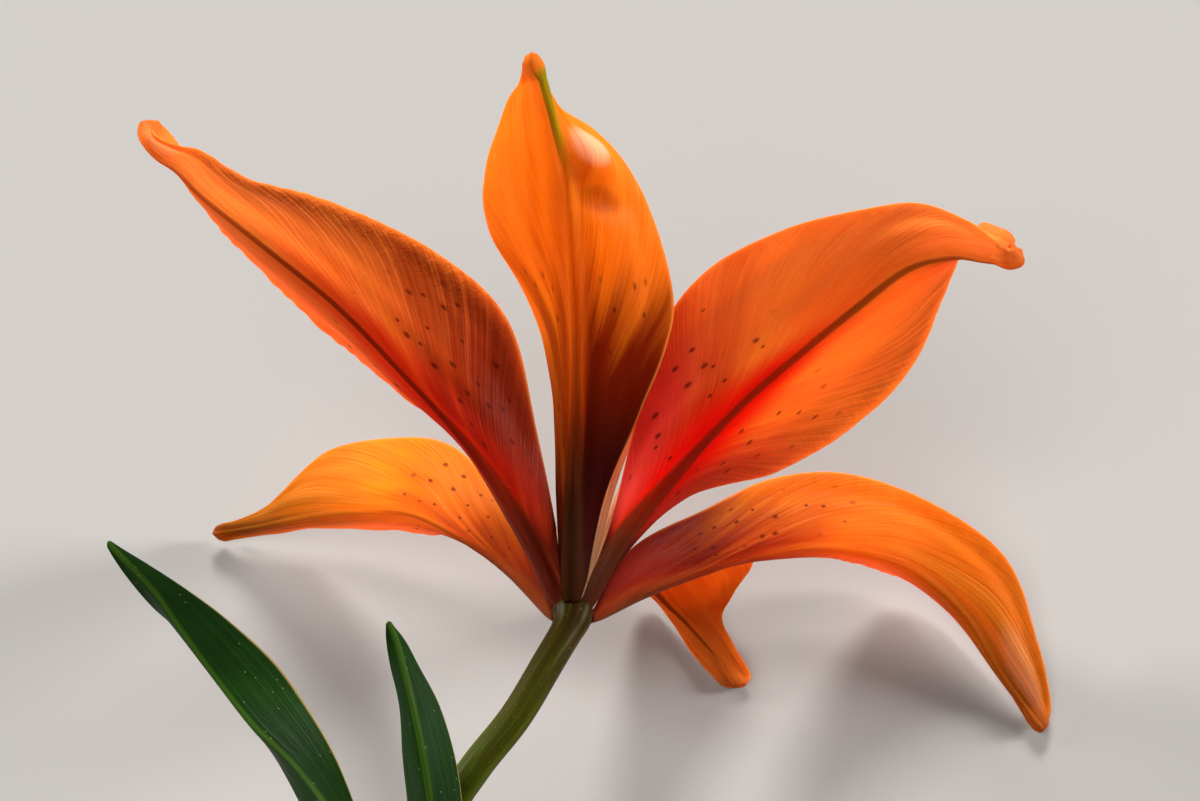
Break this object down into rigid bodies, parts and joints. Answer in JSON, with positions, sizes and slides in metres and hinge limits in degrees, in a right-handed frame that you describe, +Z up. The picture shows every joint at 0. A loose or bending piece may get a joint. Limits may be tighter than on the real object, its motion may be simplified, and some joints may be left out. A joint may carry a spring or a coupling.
{
  "type": "lily",
  "caption": "Cut orange lily lying down: one open trumpet flower with pointed tepals, stamens and a pistil, on a curved stalk with slender leaves.",
  "frame": {"origin": "on the surface that the lily lies on, below the middle of its bounding box", "axes": "+Y from the stem's cut end towards the flower, along the lily's length; +Z up from the surface; +X to the right, seen from the cut end"},
  "size_m": [0.1604, 0.2622, 0.1266],
  "materials": {
    "petal": "silky orange petal skin, coral and red towards the base, with fine veins and small maroon spots",
    "leaf": "smooth dark green leaf skin with lengthwise veins and a paler edge",
    "stem": "olive green satin skin, brownish near the flower",
    "filament": "smooth cream to pale orange",
    "anther": "matt rust-brown pollen",
    "pistil": "smooth pale green, darker at the stigma"
  },
  "bodies": {
    "root": {"stem": "stem", "sepal_front": "petal", "petal_left": "petal", "petal_right": "petal", "sepal_left": "petal", "sepal_right": "petal", "petal_back": "petal", "leaf_left": "leaf", "leaf_top": "leaf", "leaf_low": "leaf", "pistil": "pistil", "filament_front": "filament", "filament_upper_right": "filament", "filament_lower_right": "filament", "filament_back": "filament", "filament_lower_left": "filament", "filament_upper_left": "filament", "anther_front": "anther", "anther_upper_right": "anther", "anther_lower_right": "anther", "anther_back": "anther", "anther_lower_left": "anther", "anther_upper_left": "anther"}
  },
  "joints": []
}
